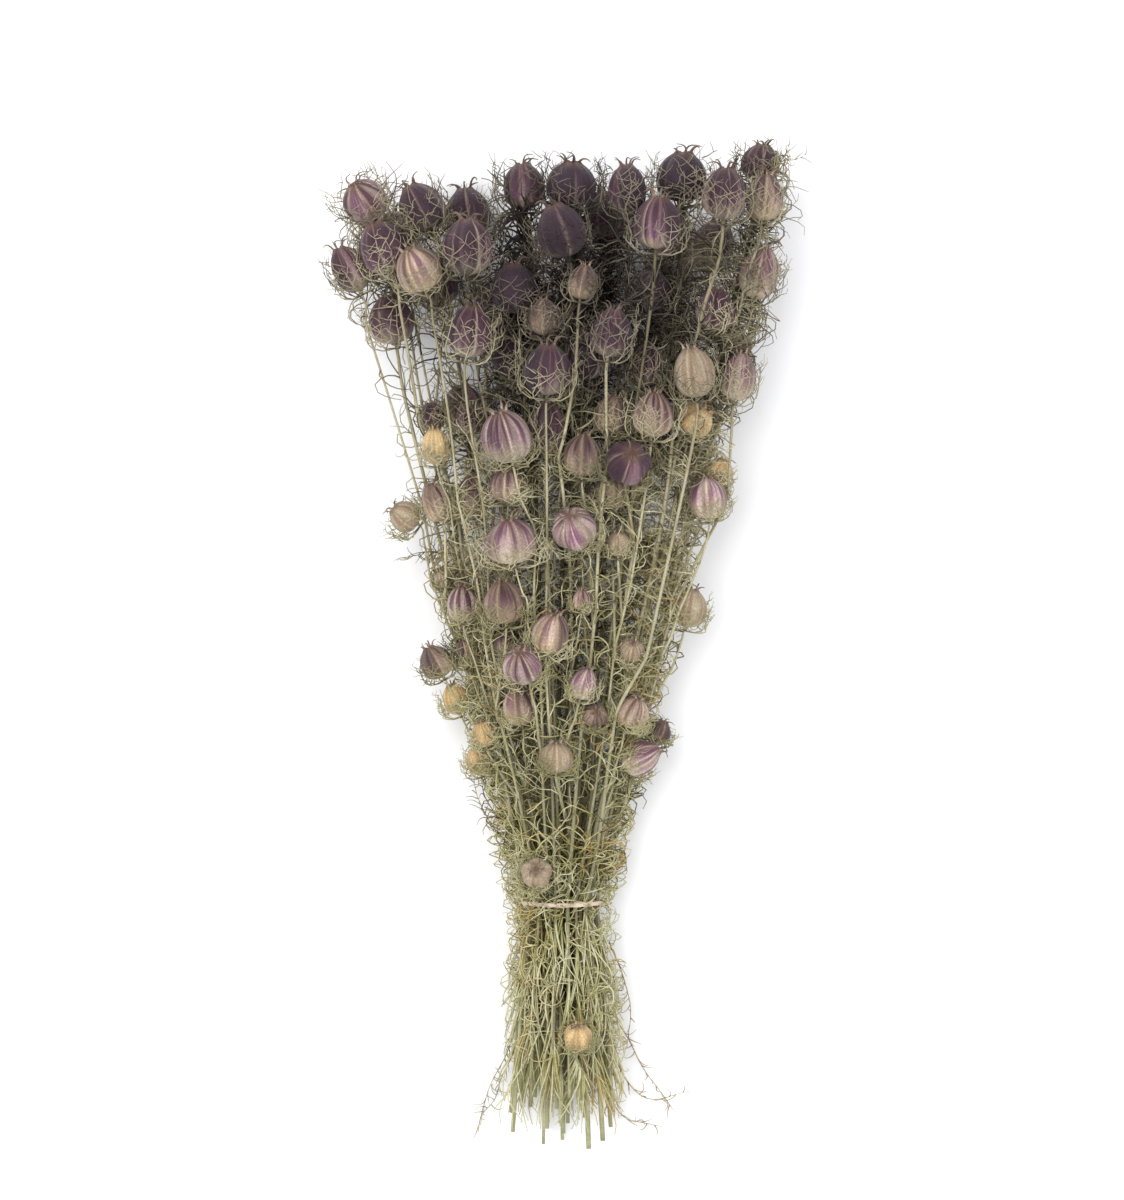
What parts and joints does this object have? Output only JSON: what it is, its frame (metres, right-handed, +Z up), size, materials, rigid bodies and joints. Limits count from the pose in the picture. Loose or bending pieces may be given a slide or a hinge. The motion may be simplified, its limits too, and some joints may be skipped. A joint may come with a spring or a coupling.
{
  "type": "dried nigella seed pod bunch",
  "caption": "Bunch of dried love-in-a-mist: round lobed seed pods with horns and thread-like bracts on long straw-green stems, held by a rubber band and lying on its side.",
  "frame": {"origin": "middle of the bunch's outline, on the surface it lies on", "axes": "+Z up from the surface, +Y along the stems from the cut ends towards the seed pods, +X across"},
  "size_m": [0.2398, 0.515, 0.0981],
  "materials": {
    "purple_pods_and_stems": "matte, dry",
    "straw_pods_and_stems": "matte, dry",
    "pale_rubber": "satin"
  },
  "bodies": {
    "root": {"flower_stem_01": "straw_pods_and_stems", "flower_stem_02": "purple_pods_and_stems", "flower_stem_03": "purple_pods_and_stems", "flower_stem_04": "purple_pods_and_stems", "flower_stem_05": "purple_pods_and_stems", "flower_stem_06": "purple_pods_and_stems", "flower_stem_07": "purple_pods_and_stems", "flower_stem_08": "purple_pods_and_stems", "flower_stem_09": "purple_pods_and_stems", "flower_stem_10": "purple_pods_and_stems", "flower_stem_11": "purple_pods_and_stems", "flower_stem_12": "purple_pods_and_stems", "flower_stem_13": "straw_pods_and_stems", "flower_stem_14": "straw_pods_and_stems", "flower_stem_15": "purple_pods_and_stems", "flower_stem_16": "purple_pods_and_stems", "flower_stem_17": "purple_pods_and_stems", "flower_stem_18": "purple_pods_and_stems", "flower_stem_19": "purple_pods_and_stems", "flower_stem_20": "purple_pods_and_stems", "flower_stem_21": "purple_pods_and_stems", "flower_stem_22": "purple_pods_and_stems", "flower_stem_23": "purple_pods_and_stems", "flower_stem_24": "purple_pods_and_stems", "flower_stem_25": "purple_pods_and_stems", "flower_stem_26": "straw_pods_and_stems", "flower_stem_27": "purple_pods_and_stems", "flower_stem_28": "purple_pods_and_stems", "flower_stem_29": "straw_pods_and_stems", "flower_stem_30": "purple_pods_and_stems", "flower_stem_31": "straw_pods_and_stems", "flower_stem_32": "purple_pods_and_stems", "flower_stem_33": "purple_pods_and_stems", "flower_stem_34": "straw_pods_and_stems", "flower_stem_35": "purple_pods_and_stems", "flower_stem_36": "purple_pods_and_stems", "flower_stem_37": "purple_pods_and_stems", "flower_stem_38": "purple_pods_and_stems", "flower_stem_39": "purple_pods_and_stems", "flower_stem_40": "purple_pods_and_stems", "flower_stem_41": "purple_pods_and_stems", "flower_stem_42": "purple_pods_and_stems", "flower_stem_43": "purple_pods_and_stems", "flower_stem_44": "purple_pods_and_stems", "rubber_band": "pale_rubber"}
  },
  "joints": []
}
